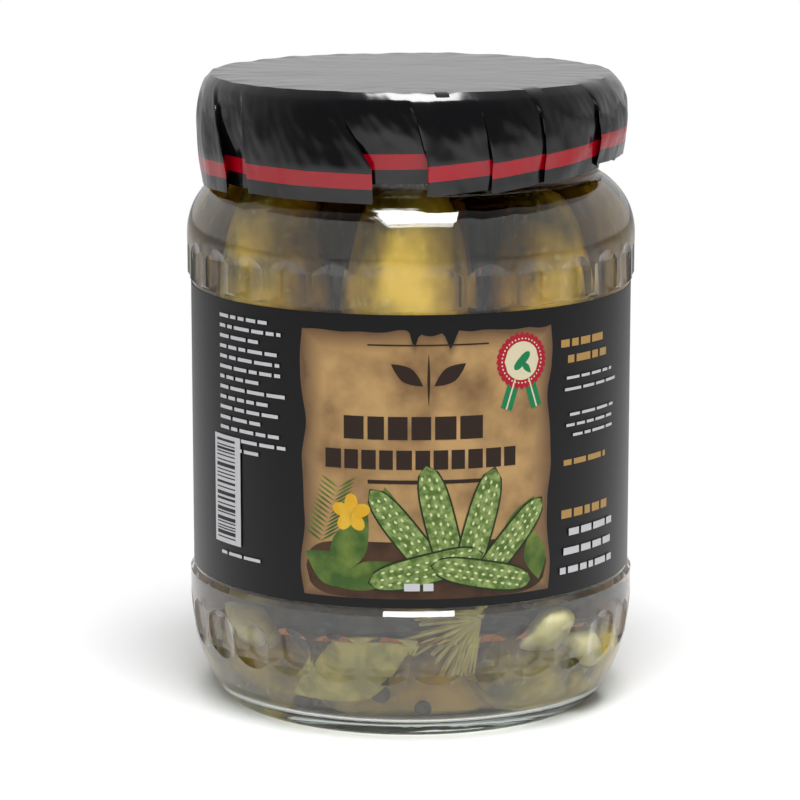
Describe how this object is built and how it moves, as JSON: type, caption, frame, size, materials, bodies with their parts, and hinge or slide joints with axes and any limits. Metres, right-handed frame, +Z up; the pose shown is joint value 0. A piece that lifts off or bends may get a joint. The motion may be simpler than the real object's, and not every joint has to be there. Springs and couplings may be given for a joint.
{
  "type": "pickle jar",
  "caption": "Sealed round glass jar of whole pickled gherkins in brine, with fluted bands, a paper wrap label and a pleated film cover over its lid.",
  "frame": {"origin": "centre of the foot, on the surface that the jar stands on", "axes": "+Z up along the jar's axis; -Y is the front, where the middle of the label faces; +X is to the right seen from the front"},
  "size_m": [0.096, 0.096, 0.1348],
  "materials": {
    "clear_glass": "gloss",
    "brine": "gloss",
    "label_paper": "satin",
    "lid_metal": "gloss",
    "cover_film": "gloss"
  },
  "bodies": {
    "root": {"glass_jar": "clear_glass", "brine": "brine", "label": "label_paper", "lid": "lid_metal", "lid_cover": "cover_film"}
  },
  "joints": []
}
